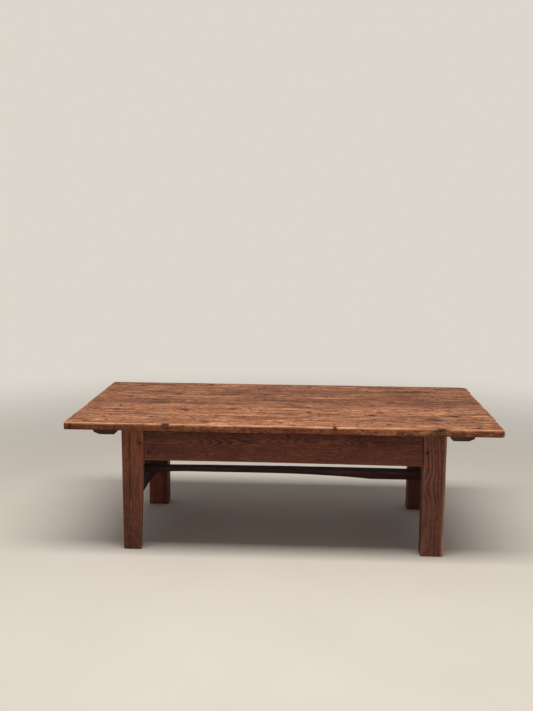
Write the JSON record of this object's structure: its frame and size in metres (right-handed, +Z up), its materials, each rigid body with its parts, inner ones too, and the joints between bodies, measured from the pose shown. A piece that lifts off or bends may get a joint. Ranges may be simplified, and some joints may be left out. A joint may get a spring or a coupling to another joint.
{
  "type": "low farmhouse table",
  "caption": "Low rectangular farmhouse table: worn plank top on bevelled battens over a pegged frame of stout legs, deep aprons, low end stretchers and a hewn centre stretcher.",
  "frame": {"origin": "on the floor, under the middle of the top", "axes": "+X along the table to the right as pictured, +Y to the back, +Z up"},
  "size_m": [1.385, 0.7462, 0.45],
  "materials": {
    "waxed_pine_top": "old wax, worn satin",
    "dark_stained_frame": "dark stain, dull wax",
    "smoky_underframe": "smoked, dry",
    "oak_peg": "end grain, dry",
    "forged_iron": "hand forged, rusted dark"
  },
  "bodies": {
    "root": {"top_board_front": "waxed_pine_top", "top_board_second": "waxed_pine_top", "top_board_middle": "waxed_pine_top", "top_board_fourth": "waxed_pine_top", "top_board_back": "waxed_pine_top", "leg_front_left": "dark_stained_frame", "leg_front_right": "dark_stained_frame", "leg_back_left": "dark_stained_frame", "leg_back_right": "dark_stained_frame", "apron_front": "dark_stained_frame", "apron_back": "dark_stained_frame", "apron_left": "dark_stained_frame", "apron_right": "dark_stained_frame", "batten_left": "smoky_underframe", "batten_right": "smoky_underframe", "end_stretcher_left": "smoky_underframe", "end_stretcher_right": "smoky_underframe", "centre_stretcher": "smoky_underframe", "apron_pegs": "oak_peg", "stretcher_pegs": "oak_peg", "batten_nails": "forged_iron", "apron_nails": "forged_iron"}
  },
  "joints": []
}
